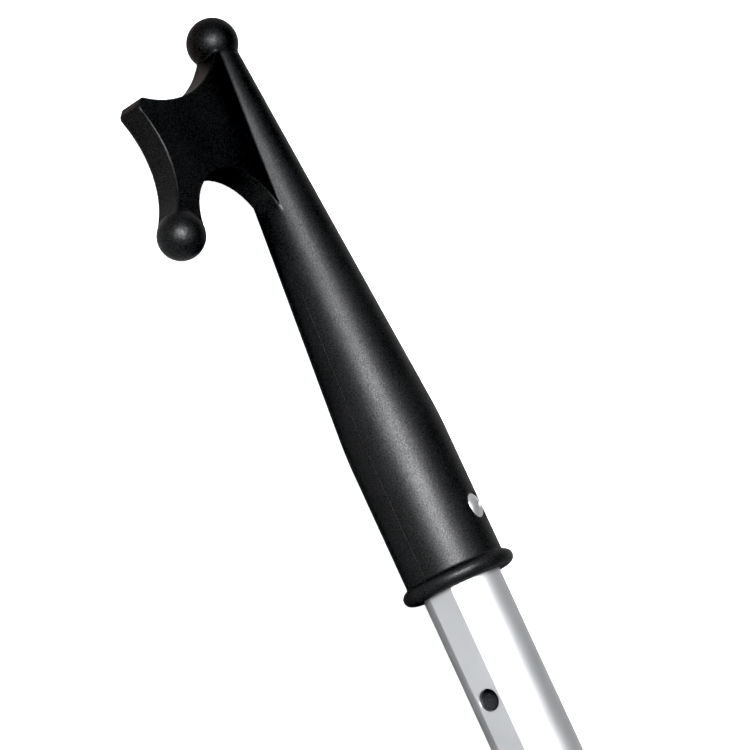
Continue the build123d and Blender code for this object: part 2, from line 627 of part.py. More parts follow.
def placed(piece):
    """A piece moved into the part's own frame, as one solid or as a group of separate ones."""
    solids = [Pos(-ORIGIN.X, -ORIGIN.Y, -ORIGIN.Z) * solid for solid in piece.solids()]
    return solids[0] if len(solids) == 1 else Compound(children=solids)


rivet_bodies, rivet_stems = head_rivets()
butt_bodies, butt_stems = butt_rivets()
PIECES = {
    "hook_head": hook_head(),
    "inner_tube": inner_tube(),
    "head_rivets": rivet_bodies,
    "head_rivet_stems": rivet_stems,
    "inner_float": inner_float(),
    "inner_guide": inner_guide(),
    "outer_tube": outer_tube(),
    "lock_collar": lock_collar(),
    "collar_screws": collar_screws(),
    "collar_nuts": collar_nuts(),
    "lever_pivot_pin": lever_pivot_pin(),
    "pivot_clip": pivot_clip(),
    "lever_spring": lever_spring(),
    "rear_grip": rear_grip(),
    "butt_cap": butt_cap(),
    "butt_rivets": butt_bodies,
    "butt_rivet_stems": butt_stems,
    "outer_float": outer_float(),
    "lock_lever": lock_lever(),
    "lock_pin": lock_pin(),
}
for name, piece in PIECES.items():
    export_step(placed(piece), f"parts/{name}.step")
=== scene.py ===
import math

import bmesh
import bpy
import numpy as np
from mathutils import Matrix, Vector


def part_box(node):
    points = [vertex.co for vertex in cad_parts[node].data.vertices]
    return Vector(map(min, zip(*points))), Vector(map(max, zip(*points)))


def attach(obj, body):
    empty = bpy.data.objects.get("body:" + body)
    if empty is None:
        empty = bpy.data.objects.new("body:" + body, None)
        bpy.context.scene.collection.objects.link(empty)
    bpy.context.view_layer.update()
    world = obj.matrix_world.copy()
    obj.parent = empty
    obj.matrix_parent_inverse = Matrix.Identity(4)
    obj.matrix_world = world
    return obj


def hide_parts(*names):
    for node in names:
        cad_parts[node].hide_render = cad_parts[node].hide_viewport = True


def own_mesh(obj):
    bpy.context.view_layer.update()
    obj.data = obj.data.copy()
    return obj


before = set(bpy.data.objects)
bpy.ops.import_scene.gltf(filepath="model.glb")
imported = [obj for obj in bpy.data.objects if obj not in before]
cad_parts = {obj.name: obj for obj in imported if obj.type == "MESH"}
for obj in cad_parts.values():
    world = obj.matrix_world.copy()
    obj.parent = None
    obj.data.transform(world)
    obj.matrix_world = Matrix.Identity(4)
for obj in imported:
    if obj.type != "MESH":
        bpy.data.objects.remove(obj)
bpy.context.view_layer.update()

# ------------------------------------------------------------------ sizes

MM = 0.001

# Hook head, in millimetres from the centre of its open end: x along the pole, y towards the hook, z across.
SOCKET_R = 15.8
SHOULDER_X = 50.3
SHOULDER_HALF = 5.8
CONE_END_X = 181.5
CONE_END_R = 6.1
BEAD_RING_R = 15.8
BEAD_R = 2.4
TOP_BALL = (184.95, 0.0)
TOP_BALL_R = 8.15
HOOK_BALL = (125.25, 55.05)
HOOK_BALL_R = 7.4
THROAT = (122.6, 28.75)
THROAT_R = 19.8
PUSH_FACE = (151.5, 79.6)
PUSH_FACE_R = 29.7
SADDLE = (209.8, 37.3)
SADDLE_R = 42.7
TIP_OUTER = (165.86, 53.6)
TIP_INNER = (169.1, 50.2)
ARM_TOP_Y = 58.8
WEB_HALF = 4.4
BORE_R = 12.75
BORE_FLAT = 11.97
BORE_DEPTH = 60.5
CORE_START_R = 9.6
CORE_END_R = 6.2
CORE_END_X = 118.0
CORE_OVERLAP = 1.0
RIVET_X = 19.75
RIVET_ANGLE = math.radians(101.0)
SPOTFACE_R = 4.3
SPOTFACE_FLOOR = 15.3

# Radii of its rounded edges and fillets, in millimetres.
MOUTH_ROUND = 0.4
BEAD_FILLET = 0.7
NEARLY_SHARP = 0.1
TIP_INNER_ROUND = 0.9
TIP_OUTER_ROUND = 1.5
WEB_EDGE_ROUND = 0.4
WEB_FILLET = 0.3
TOP_BALL_FILLET = 0.25
HOOK_BALL_FILLET = 0.3
BORE_EDGE_ROUND = 0.4
SPOTFACE_ROUND = 0.15

# How finely the head is meshed, in millimetres, and how many times its points are drawn to its surface.
HEAD_VOXEL = 0.5
SETTLE_STEP = 0.4
SETTLE_PASSES = 6

# The moulding line round the head, in millimetres. On the hook's side it stops at FLASH_END_X. A run of
# FLASH_SHORTEST points or fewer is left out.
FLASH_HEIGHT = 0.05
FLASH_ROOT = -0.05
FLASH_HALF_WIDTH = 0.12
FLASH_END_X = 100.0
FLASH_SHORTEST = 20

# The line is left out this close to the bore's wall and to the core's end, this close to the bore's floor,
# and inside this share of the core's widest radius. The first 11 mm of the core's wall are wider than that
# share, and keep a line that is out of sight.
INSIDE_MARGIN = 0.6
FLOOR_MARGIN = 1.0
CORE_SHARE = 0.93

# The lever's spring: its wire's radius in millimetres, its turns, how many are closed at each end, and the
# points in a turn.
SPRING_WIRE_R = 0.4
SPRING_TURNS = 5.5
SPRING_CLOSED_TURNS = 0.75
SPRING_STEPS = 36

# The pole's centre line and the head's open end come from the frame.
tube_low, tube_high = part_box("outer_tube")
head_low, head_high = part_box("hook_head")
AXIS_Y = (tube_low.y + tube_high.y) / 2
AXIS_Z = (tube_low.z + tube_high.z) / 2
MOUTH = Vector((head_low.x, AXIS_Y, AXIS_Z))

# ------------------------------------------------------------------ camera

# The point looked at is given from the head's open end.
VIEW_RISE = math.radians(35.48)  # the view's angle above the hook's plane
VIEW_TILT = math.radians(7.45)  # the butt end comes this much nearer to the viewer
VIEW_ROLL = math.radians(24.75)  # the pole leans this far left of upright in the picture
VIEW_ALONG = 69.98 * MM  # up the head
VIEW_ASIDE = -4.88 * MM  # from the centre line, and positive towards the hook
VIEW_DISTANCE = 1.0608
LENS = 165.7
SENSOR = 36.0
CLIP_START = 0.05
CLIP_END = 100.0
BLACK_LEVEL = 0.0120

across = Vector((0.0, -math.sin(VIEW_RISE), math.cos(VIEW_RISE)))
towards = Vector(
    (
        -math.sin(VIEW_TILT),
        math.cos(VIEW_TILT) * math.cos(VIEW_RISE),
        math.cos(VIEW_TILT) * math.sin(VIEW_RISE),
    )
)
along = towards.cross(across)
screen_right = math.cos(VIEW_ROLL) * across - math.sin(VIEW_ROLL) * along
screen_up = math.sin(VIEW_ROLL) * across + math.cos(VIEW_ROLL) * along
aim = MOUTH + Vector((VIEW_ALONG, VIEW_ASIDE, 0.0))


def basis(right, up, back):
    """The rotation whose local axes are right, up and back."""
    return Matrix((right, up, back)).transposed().to_quaternion()


camera_data = bpy.data.cameras.new("camera")
camera_data.lens = LENS
camera_data.sensor_width = SENSOR
camera_data.clip_start = CLIP_START
camera_data.clip_end = CLIP_END
camera = bpy.data.objects.new("camera", camera_data)
bpy.context.collection.objects.link(camera)
camera.rotation_mode = "QUATERNION"
camera.rotation_quaternion = basis(screen_right, screen_up, towards)
camera.location = aim + towards * VIEW_DISTANCE
bpy.context.scene.camera = camera

view = bpy.context.scene.view_settings
view.view_transform = "Standard"
view.use_curve_mapping = True
view.curve_mapping.black_level = (BLACK_LEVEL,) * 3
view.curve_mapping.update()

# ------------------------------------------------------------------ node helper


class Tree:
    """A small wrapper that adds and links shader nodes."""

    def __init__(self, tree):
        self.tree = tree
        self.tree.nodes.clear()

    def add(self, kind, inputs=None, **settings):
        node = self.tree.nodes.new(kind)
        for name, value in settings.items():
            setattr(node, name, value)
        for name, value in (inputs or {}).items():
            if isinstance(value, bpy.types.NodeSocket):
                self.tree.links.new(value, node.inputs[name])
            else:
                node.inputs[name].default_value = value
        return node

    def noise(self, where, scale, detail=3.0, roughness=0.5):
        inputs = {"Vector": where, "Scale": scale, "Detail": detail, "Roughness": roughness}
        return self.add("ShaderNodeTexNoise", inputs).outputs["Fac"]

    def cells(self, where, scale):
        return self.add("ShaderNodeTexVoronoi", {"Vector": where, "Scale": scale}).outputs["Distance"]

    def remap(self, value, low, high, to_low, to_high):
        node = self.add(
            "ShaderNodeMapRange",
            {"Value": value, "From Min": low, "From Max": high, "To Min": to_low, "To Max": to_high},
        )
        return node.outputs["Result"]

    def vary(self, noise, middle, swing):
        """A value that swings both ways from the middle as a noise does."""
        return self.remap(noise, 0.3, 0.7, middle - swing, middle + swing)

    def math(self, operation, a, b=0.0):
        node = self.add("ShaderNodeMath", {0: a, 1: b}, operation=operation)
        return node.outputs[0]

    def plus(self, a, b):
        return self.math("ADD", a, b)

    def times(self, a, b):
        return self.math("MULTIPLY", a, b)

    def mix(self, factor, a, b):
        node = self.add("ShaderNodeMix", {"Factor": factor}, data_type="RGBA")
        for socket, value in (("A", a), ("B", b)):
            target = [s for s in node.inputs if s.name == socket and s.type == "RGBA"][0]
            if isinstance(value, bpy.types.NodeSocket):
                self.tree.links.new(value, target)
            else:
                target.default_value = (*value, 1.0)
        return [s for s in node.outputs if s.type == "RGBA"][0]

    def patches(self, noise, a, b, low=0.35, high=0.65):
        """One colour that gives way to another in patches."""
        return self.mix(self.remap(noise, low, high, 0.0, 1.0), a, b)

    def stretched(self, scale=(1.0, 1.0, 1.0)):
        """The row frame's coordinates, in metres, scaled along each axis."""
        place = self.add("ShaderNodeTexCoord").outputs["Object"]
        node = self.add("ShaderNodeMapping", {"Vector": place, "Scale": scale})
        return node.outputs["Vector"]

    def bump(self, height, distance, strength=1.0, normal=None):
        inputs = {"Height": height, "Distance": distance, "Strength": strength}
        if normal is not None:
            inputs["Normal"] = normal
        return self.add("ShaderNodeBump", inputs).outputs["Normal"]

    def surface(self, inputs):
        shader = self.add("ShaderNodeBsdfPrincipled", inputs)
        out = self.add("ShaderNodeOutputMaterial")
        self.tree.links.new(shader.outputs[0], out.inputs["Surface"])
        return shader


def new_material(name):
    material = bpy.data.materials.new(name)
    material.use_nodes = True
    return material, Tree(material.node_tree)


def rounded_edges(t, width):
    """The surface's normal with its sharp edges shaded as if rounded."""
    return t.add("ShaderNodeBevel", {"Radius": width}, samples=6).outputs["Normal"]


def edge_wear(t, rounded):
    """1 along sharp edges and 0 on open faces, from how far a rounded normal turns from the true one."""
    true = t.add("ShaderNodeNewGeometry").outputs["Normal"]
    dot = t.add("ShaderNodeVectorMath", {0: rounded, 1: true}, operation="DOT_PRODUCT").outputs["Value"]
    return t.remap(t.math("SUBTRACT", 1.0, dot), 0.02, 0.25, 0.0, 1.0)


# ------------------------------------------------------------------ materials

# Noise and cell scales are in cells per metre. A stretched place has its scales along x, y and z instead.


def moulded_plastic(name, colour, lighter, roughness, grain=0.4 * MM, depth=0.05 * MM):
    """Black moulded nylon: fine grain, speckled shine, flow shades, rubbed edges and hairline scuffs."""
    shine = 0.3
    scuffed = [3.0 * c + 0.02 for c in lighter]
    rubbed = [1.8 * c + 0.006 for c in lighter]
    material, t = new_material(name)
    place = t.stretched()
    flow = t.noise(place, 60.0, detail=4.0)
    fine = t.noise(place, 1.0 / grain, detail=2.0, roughness=0.6)
    pits = t.cells(place, 0.6 / grain)
    speckle = t.noise(place, 0.9 / grain, detail=1.0)
    hairlines = t.noise(t.stretched((240.0, 1900.0, 1900.0)), 1.0, detail=5.0, roughness=0.65)
    handled = t.remap(t.noise(place, 35.0), 0.5, 0.62, 0.0, 1.0)
    scuff = t.times(t.remap(hairlines, 0.66, 0.74, 0.0, 1.0), handled)
    rounded = rounded_edges(t, 0.6 * MM)
    wear = edge_wear(t, rounded)
    shade = t.patches(flow, colour, lighter)
    shade = t.mix(t.times(scuff, 0.35), shade, scuffed)
    shade = t.mix(t.times(wear, 0.25), shade, rubbed)
    rough = t.plus(t.vary(flow, roughness, 0.035), t.vary(fine, 0.0, 0.05))
    rough = t.math("SUBTRACT", rough, t.times(wear, 0.08))
    height = t.plus(t.times(fine, 0.6), t.times(pits, 0.4))
    normal = t.bump(height, depth, normal=rounded)
    normal = t.bump(scuff, 0.01 * MM, 0.5, normal)
    t.surface(
        {
            "Base Color": shade,
            "Roughness": rough,
            "Normal": normal,
            "Specular IOR Level": t.remap(speckle, 0.35, 0.68, 0.62 * shine, 1.5 * shine),
        }
    )
    return material


def drawn_aluminium(name, colour, shaded):
    """Satin anodised tube: die lines along its length, cloudy anodising and a few fine scratches across."""
    roughness = 0.42
    bright = (0.93, 0.93, 0.94)
    material, t = new_material(name)
    lines = t.noise(t.stretched((6.0, 2600.0, 2600.0)), 1.0, detail=4.0, roughness=0.7)
    broad = t.noise(t.stretched((3.0, 420.0, 420.0)), 1.0, detail=2.0)
    cloud = t.noise(t.stretched(), 28.0, detail=5.0, roughness=0.6)
    grain = t.noise(t.stretched(), 9000.0, detail=1.0)
    scratch = t.noise(t.stretched((1500.0, 90.0, 90.0)), 1.0, detail=4.0, roughness=0.7)
    scratch = t.times(t.remap(scratch, 0.70, 0.78, 0.0, 1.0), t.remap(cloud, 0.5, 0.6, 0.0, 1.0))
    rounded = rounded_edges(t, 0.3 * MM)
    wear = edge_wear(t, rounded)
    shade = t.patches(cloud, colour, shaded, 0.3, 0.7)
    shade = t.mix(t.times(scratch, 0.3), shade, bright)
    shade = t.mix(t.times(wear, 0.4), shade, bright)
    rough = t.plus(t.vary(cloud, roughness, 0.03), t.vary(lines, 0.0, 0.05))
    rough = t.math("SUBTRACT", rough, t.times(wear, 0.08))
    height = t.plus(t.times(lines, 0.5), t.times(broad, 0.3))
    height = t.plus(height, t.times(grain, 0.2))
    tangent = t.add("ShaderNodeTangent", direction_type="RADIAL", axis="X").outputs["Tangent"]
    t.surface(
        {
            "Base Color": shade,
            "Metallic": 1.0,
            "Roughness": rough,
            "Anisotropic": 0.6,
            "Tangent": tangent,
            "Normal": t.bump(height, 0.006 * MM, normal=rounded),
        }
    )
    return material


def turned_metal(name, colour, shaded, roughness, scale=2500.0):
    """Small metal hardware: fine tool marks, tarnish in patches and bright rubbed edges."""
    bright = (0.9, 0.9, 0.91)
    material, t = new_material(name)
    place = t.stretched()
    marks = t.noise(place, scale, detail=4.0, roughness=0.7)
    tarnish = t.noise(place, 320.0, detail=4.0)
    rounded = rounded_edges(t, 0.25 * MM)
    wear = edge_wear(t, rounded)
    shade = t.mix(t.times(wear, 0.5), t.patches(tarnish, colour, shaded), bright)
    rough = t.remap(tarnish, 0.3, 0.7, roughness - 0.05, roughness + 0.07)
    t.surface(
        {
            "Base Color": shade,
            "Metallic": 1.0,
            "Roughness": t.plus(rough, t.vary(marks, 0.0, 0.05)),
            "Normal": t.bump(marks, 0.006 * MM, normal=rounded),
        }
    )
    return material


def grip_rubber():
    """Soft black grip: stippled, with flow shades and paler where its edges are worn."""
    material, t = new_material("grip_rubber")
    place = t.stretched()
    stipple = t.cells(place, 1500.0)
    fine = t.noise(place, 5200.0, detail=2.0)
    flow = t.noise(place, 45.0, detail=4.0)
    rounded = rounded_edges(t, 0.7 * MM)
    wear = edge_wear(t, rounded)
    shade = t.patches(flow, (0.026, 0.026, 0.027), (0.040, 0.040, 0.041))
    shade = t.mix(t.times(wear, 0.3), shade, (0.08, 0.08, 0.077))
    height = t.plus(t.times(stipple, 0.7), t.times(fine, 0.3))
    t.surface(
        {
            "Base Color": shade,
            "Roughness": t.plus(t.vary(flow, 0.68, 0.06), t.vary(fine, 0.0, 0.04)),
            "Normal": t.bump(height, 0.05 * MM, normal=rounded),
            "Specular IOR Level": 0.35,
            "Sheen Weight": 0.08,
        }
    )
    return material


def closed_foam():
    """Closed-cell foam: small burst cells cut through at its skin."""
    material, t = new_material("float_foam")
    place = t.stretched()
    burst = t.cells(place, 1400.0)
    flow = t.noise(place, 90.0, detail=4.0)
    t.surface(
        {
            "Base Color": t.patches(flow, (0.010, 0.010, 0.011), (0.020, 0.020, 0.022)),
            "Roughness": t.remap(burst, 0.0, 0.6, 0.95, 0.8),
            "Normal": t.bump(burst, 0.18 * MM),
            "Specular IOR Level": 0.15,
        }
    )
    return material


def acetal():
    """Off-white bearing plastic: waxy, with grey rub marks along it."""
    material, t = new_material("guide_plastic")
    rub = t.noise(t.stretched((40.0, 600.0, 600.0)), 1.0, detail=4.0)
    fine = t.noise(t.stretched(), 3000.0, detail=2.0)
    t.surface(
        {
            "Base Color": t.patches(rub, (0.72, 0.71, 0.66), (0.42, 0.42, 0.41), 0.5, 0.72),
            "Roughness": t.plus(t.vary(rub, 0.43, 0.07), t.vary(fine, 0.0, 0.03)),
            "Normal": t.bump(fine, 0.01 * MM),
            "Subsurface Weight": 0.15,
            "Subsurface Radius": (0.002, 0.002, 0.0015),
        }
    )
    return material


head_plastic = moulded_plastic(
    "head_plastic",
    colour=(0.0025, 0.0026, 0.0027),
    lighter=(0.0035, 0.0036, 0.0038),
    roughness=0.45,
    grain=0.32 * MM,
)
collar_plastic = moulded_plastic(
    "collar_plastic", colour=(0.022, 0.022, 0.023), lighter=(0.032, 0.032, 0.034), roughness=0.5
)
lever_plastic = moulded_plastic(
    "lever_plastic",
    colour=(0.028, 0.028, 0.030),
    lighter=(0.038, 0.038, 0.041),
    roughness=0.42,
    grain=0.5 * MM,
)
inner_aluminium = drawn_aluminium("inner_aluminium", (0.53, 0.535, 0.54), (0.495, 0.50, 0.505))
outer_aluminium = drawn_aluminium("outer_aluminium", (0.66, 0.67, 0.70), (0.60, 0.61, 0.64))
rivet_aluminium = turned_metal("rivet_aluminium", (0.90, 0.90, 0.90), (0.80, 0.80, 0.81), 0.46)
zinc_steel = turned_metal("zinc_steel", (0.50, 0.50, 0.52), (0.36, 0.35, 0.35), 0.38, scale=4000.0)
stainless = turned_metal("stainless", (0.62, 0.62, 0.63), (0.50, 0.50, 0.51), 0.25)

# ------------------------------------------------------------------ shapes


def round_and(a, b, r):
    """The intersection of two shapes given as distances, with their shared outer edge rounded by r."""
    return np.minimum(-r, np.maximum(a, b)) + np.hypot(np.maximum(a + r, 0), np.maximum(b + r, 0))


def round_or(a, b, r):
    """The union of two shapes given as distances, with a fillet of radius r where they meet."""
    return np.maximum(r, np.minimum(a, b)) - np.hypot(np.maximum(r - a, 0), np.maximum(r - b, 0))


def half_plane(x, y, start, end):
    """Distance past the line from start to end, on its right-hand side."""
    dx, dy = end[0] - start[0], end[1] - start[1]
    length = math.hypot(dx, dy)
    return ((x - start[0]) * dy - (y - start[1]) * dx) / length


def disc(x, y, centre, radius):
    return np.hypot(x - centre[0], y - centre[1]) - radius


def shank_radius(x):
    """Straight socket, then a taper that starts through a long soft shoulder."""
    slope = (SOCKET_R - CONE_END_R) / (CONE_END_X - SHOULDER_X)
    past = x - SHOULDER_X
    blend = (past + SHOULDER_HALF) ** 2 / (4 * SHOULDER_HALF)
    drop = np.where(past > SHOULDER_HALF, past, np.where(past > -SHOULDER_HALF, blend, 0.0))
    return SOCKET_R - slope * drop


def head_distance(p):
    """Signed distance, in millimetres, to the hook head's surface: one moulding with soft joins."""
    x, y, z = p[:, 0], p[:, 1], p[:, 2]
    ring = np.hypot(y, z)
    shank = round_and(ring - shank_radius(x), np.abs(x - CONE_END_X / 2) - CONE_END_X / 2, MOUTH_ROUND)
    bead = np.hypot(ring - BEAD_RING_R, x - BEAD_R) - BEAD_R
    shank = round_or(shank, bead, BEAD_FILLET)

    outline = np.maximum(-y, y - ARM_TOP_Y)
    outline = np.maximum(outline, half_plane(x, y, HOOK_BALL, THROAT))
    outline = np.maximum(outline, x - TOP_BALL[0])
    tip = half_plane(x, y, TIP_INNER, TIP_OUTER)
    outline = round_and(outline, -disc(x, y, SADDLE, SADDLE_R), NEARLY_SHARP)
    outline = round_and(outline, tip, TIP_INNER_ROUND)
    outline = round_and(outline, -disc(x, y, PUSH_FACE, PUSH_FACE_R), TIP_OUTER_ROUND)
    outline = round_and(outline, -disc(x, y, THROAT, THROAT_R), NEARLY_SHARP)
    web = round_and(outline, np.abs(z) - WEB_HALF, WEB_EDGE_ROUND)

    solid = round_or(shank, web, WEB_FILLET)
    top_ball = np.sqrt((x - TOP_BALL[0]) ** 2 + ring**2) - TOP_BALL_R
    hook_ball = np.sqrt((x - HOOK_BALL[0]) ** 2 + (y - HOOK_BALL[1]) ** 2 + z**2) - HOOK_BALL_R
    solid = round_or(solid, top_ball, TOP_BALL_FILLET)
    solid = round_or(solid, hook_ball, HOOK_BALL_FILLET)

    bore = np.maximum(np.maximum(ring - BORE_R, y - BORE_FLAT), x - BORE_DEPTH)
    solid = round_and(solid, -bore, BORE_EDGE_ROUND)
    taper = (x - BORE_DEPTH) / (CORE_END_X - BORE_DEPTH)
    core = np.maximum(ring - (CORE_START_R + (CORE_END_R - CORE_START_R) * taper), x - CORE_END_X)
    core = np.maximum(core, BORE_DEPTH - CORE_OVERLAP - x)
    solid = np.maximum(solid, -core)
    lift = y * math.cos(RIVET_ANGLE) + z * math.sin(RIVET_ANGLE)
    aside = z * math.cos(RIVET_ANGLE) - y * math.sin(RIVET_ANGLE)
    spot = np.maximum(np.hypot(x - RIVET_X, aside) - SPOTFACE_R, SPOTFACE_FLOOR - np.abs(lift))
    return round_and(solid, -spot, SPOTFACE_ROUND)


def head_gradient(p, step=0.02):
    """The outward direction of the head's surface at each point."""
    slope = np.stack(
        [head_distance(p + step * axis) - head_distance(p - step * axis) for axis in np.eye(3)], axis=1
    )
    return slope / np.maximum(np.linalg.norm(slope, axis=1, keepdims=True), 1e-9)


def link(name, mesh, material, body):
    """A new smooth piece that carries a material and rides on a body."""
    obj = bpy.data.objects.new(name, mesh)
    bpy.context.collection.objects.link(obj)
    obj.data.materials.clear()
    obj.data.materials.append(material)
    obj.data.shade_smooth()
    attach(obj, body)
    return obj


def to_head(points):
    """Row-frame metres to the head's own millimetres."""
    return (points - np.array(MOUTH)) / MM


def from_head(points):
    """The head's own millimetres to row-frame metres."""
    return points * MM + np.array(MOUTH)


def hook_head():
    """The head remeshed finely and evenly, then drawn onto its rounded surface."""
    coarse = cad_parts["hook_head"].data.copy()
    obj = bpy.data.objects.new("hook_head_moulding", coarse)
    bpy.context.collection.objects.link(obj)
    remesh = obj.modifiers.new("remesh", "REMESH")
    remesh.mode = "VOXEL"
    remesh.voxel_size = HEAD_VOXEL * MM
    depsgraph = bpy.context.evaluated_depsgraph_get()
    fine = bpy.data.meshes.new_from_object(obj.evaluated_get(depsgraph))
    obj.modifiers.clear()
    bpy.data.objects.remove(obj)
    co = np.zeros(len(fine.vertices) * 3)
    fine.vertices.foreach_get("co", co)
    p = to_head(co.reshape(-1, 3))
    for _ in range(SETTLE_PASSES):
        step = np.clip(head_distance(p), -SETTLE_STEP, SETTLE_STEP)
        p -= head_gradient(p) * step[:, None]
    fine.vertices.foreach_set("co", from_head(p).ravel())
    fine.update()
    piece = link("hook_head_moulding", fine, head_plastic, "inner_pole")
    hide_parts("hook_head")
    return piece


def middle_section(mesh):
    """The points, and each point's neighbours, of the cut through a mesh at the pole's height."""
    bm = bmesh.new()
    bm.from_mesh(mesh)
    cut = bmesh.ops.bisect_plane(
        bm,
        geom=bm.verts[:] + bm.edges[:] + bm.faces[:],
        plane_co=(0, 0, AXIS_Z),
        plane_no=(0, 0, 1),
        clear_inner=True,
        clear_outer=True,
    )
    points, numbers, neighbours = [], {}, {}
    for edge in (e for e in cut["geom_cut"] if isinstance(e, bmesh.types.BMEdge)):
        ends = []
        for v in edge.verts:
            key = tuple(round(c / MM, 3) for c in v.co)
            if key not in numbers:
                numbers[key] = len(points)
                points.append(np.array(v.co))
            ends.append(numbers[key])
        if ends[0] != ends[1]:
            neighbours.setdefault(ends[0], set()).add(ends[1])
            neighbours.setdefault(ends[1], set()).add(ends[0])
    bm.free()
    return np.array(points), neighbours


def shows_flash(p):
    """False in the bore, in most of the core behind it and on the hook, and True elsewhere on the head."""
    x, y = p[:, 0], p[:, 1]
    ring = np.hypot(y, p[:, 2])
    in_bore = (ring < BORE_R + INSIDE_MARGIN) & (x < BORE_DEPTH + FLOOR_MARGIN)
    in_core = (ring < CORE_SHARE * CORE_START_R) & (x < CORE_END_X + INSIDE_MARGIN)
    on_hook = (x > FLASH_END_X) & (y > 0.0)
    return ~(in_bore | in_core | on_hook)


def chains_of(neighbours, wanted):
    """Runs of neighbouring points, each followed from one end to the other."""
    chains = []
    unused = set(wanted)
    while unused:
        start = min(unused, key=lambda i: (sum(j in unused for j in neighbours.get(i, ())), i))
        chain = [start]
        unused.discard(start)
        while True:
            onward = sorted(j for j in neighbours.get(chain[-1], ()) if j in unused)
            if not onward:
                break
            chain.append(onward[0])
            unused.discard(onward[0])
        if len(chain) > FLASH_SHORTEST:
            chains.append(chain)
    return chains


def flash_line(head):
    """The thin raised line along the head where the two halves of its mould met."""
    points, neighbours = middle_section(head.data)
    p = to_head(points)
    shown = shows_flash(p)
    normal = head_gradient(p)
    profile = ((-FLASH_HALF_WIDTH, FLASH_ROOT), (0.0, FLASH_HEIGHT), (FLASH_HALF_WIDTH, FLASH_ROOT))
    corners = len(profile)
    verts, faces = [], []
    for chain in chains_of(neighbours, [i for i in range(len(p)) if shown[i]]):
        base = len(verts)
        for i in chain:
            out = normal[i] * np.array([1.0, 1.0, 0.0])
            out /= max(np.linalg.norm(out), 1e-9)
            for side, lift in profile:
                verts.append(from_head(p[i] + out * lift + np.array([0.0, 0.0, side])))
        for k in range(len(chain) - 1):
            a = base + corners * k
            b = a + corners
            for c in range(corners):
                d = (c + 1) % corners
                faces.append((a + c, b + c, b + d, a + d))
    mesh = bpy.data.meshes.new("hook_head_flash_line")
    mesh.from_pydata([tuple(v) for v in verts], [], faces)
    mesh.update()
    return link("hook_head_flash_line", mesh, head_plastic, "inner_pole")


def swept_tube(path, radius, sides=10):
    """Vertices and faces of a round tube with closed ends along a list of points."""
    verts, faces = [], []
    n = len(path)
    side_axis = None
    for i, here in enumerate(path):
        ahead = path[min(i + 1, n - 1)] - path[max(i - 1, 0)]
        ahead = ahead.normalized()
        if side_axis is None:
            side_axis = ahead.orthogonal().normalized()
        side_axis = (side_axis - ahead * side_axis.dot(ahead)).normalized()
        other = ahead.cross(side_axis)
        for k in range(sides):
            turn = 2 * math.pi * k / sides
            verts.append(here + radius * (math.cos(turn) * side_axis + math.sin(turn) * other))
    for i in range(n - 1):
        for k in range(sides):
            a, b = i * sides + k, i * sides + (k + 1) % sides
            faces.append((a, b, b + sides, a + sides))
    faces.append(tuple(reversed(range(sides))))
    faces.append(tuple(range((n - 1) * sides, n * sides)))
    return verts, faces


def spring_path(low, high, wire):
    """The wire's centre line inside a box: close turns at both ends and open ones between them."""
    radius = (high.x - low.x) / 2 - wire
    centre = (low + high) / 2
    open_total = SPRING_TURNS - 2 * SPRING_CLOSED_TURNS
    pitch = 2 * wire
    open_rise = (high.y - low.y - pitch) - 2 * SPRING_CLOSED_TURNS * pitch
    path = []
    for i in range(int(SPRING_TURNS * SPRING_STEPS) + 1):
        turn = i / SPRING_STEPS
        open_turns = min(max(turn - SPRING_CLOSED_TURNS, 0.0), open_total)
        y = low.y + wire + (turn - open_turns) * pitch + open_turns / open_total * open_rise
        angle = 2 * math.pi * turn
        path.append(Vector((centre.x + radius * math.cos(angle), y, centre.z + radius * math.sin(angle))))
    return path


def lever_spring():
    """Compression spring with closed ends."""
    low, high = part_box("lever_spring")
    wire = SPRING_WIRE_R * MM
    verts, faces = swept_tube(spring_path(low, high, wire), wire)
    mesh = bpy.data.meshes.new("lever_spring_coil")
    mesh.from_pydata(verts, [], faces)
    mesh.update()
    coil = link("lever_spring_coil", mesh, stainless, "outer_pole")
    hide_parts("lever_spring")
    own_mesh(coil)
    return coil


def dress(node, material):
    """Gives a carried-over CAD node its material."""
    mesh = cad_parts[node].data
    mesh.materials.clear()
    mesh.materials.append(material)


flash_line(hook_head())
lever_spring()

dress("inner_tube", inner_aluminium)
dress("outer_tube", outer_aluminium)
dress("head_rivets", rivet_aluminium)
dress("butt_rivets", rivet_aluminium)
dress("head_rivet_stems", zinc_steel)
dress("butt_rivet_stems", zinc_steel)
dress("pivot_clip", zinc_steel)
for fastener in ("collar_screws", "collar_nuts", "lever_pivot_pin", "lock_pin"):
    dress(fastener, stainless)
dress("lock_collar", collar_plastic)
dress("butt_cap", collar_plastic)
dress("lock_lever", lever_plastic)
dress("rear_grip", grip_rubber())
float_foam = closed_foam()
for plug in ("inner_float", "outer_float"):
    dress(plug, float_foam)
dress("inner_guide", acetal())

# ------------------------------------------------------------------ floor, world and lights

# The floor, in metres from its middle to each edge, and how brightly the camera sees it glow.
FLOOR_HALF = 60.0
FLOOR_GLOW = 0.97
PAPER = (0.86, 0.86, 0.86)
PAPER_LIGHTER = (0.89, 0.89, 0.89)

# What the object catches from the floor, painted into the floor for all rays but the camera's: painted shade
# under itself, more from in front of the pole and behind it, and a warm painted light past the hook. Each
# pair says where that stretch starts and where it is full.
PAINTED_SHADE_UNDER = (0.04, 0.04, 0.04)
OPEN_BOUNCE = (0.30, 0.30, 0.30)
PAINTED_WARM_LIGHT_PAST_TIP = (0.36, 0.32, 0.29)
FRONT_OPEN = (AXIS_Y + 0.01, AXIS_Y + 0.03)
BEHIND_OPEN = (AXIS_Y - 0.05, AXIS_Y - 0.12)
TIP_OPEN = (head_high.x - 0.045, head_high.x - 0.02)

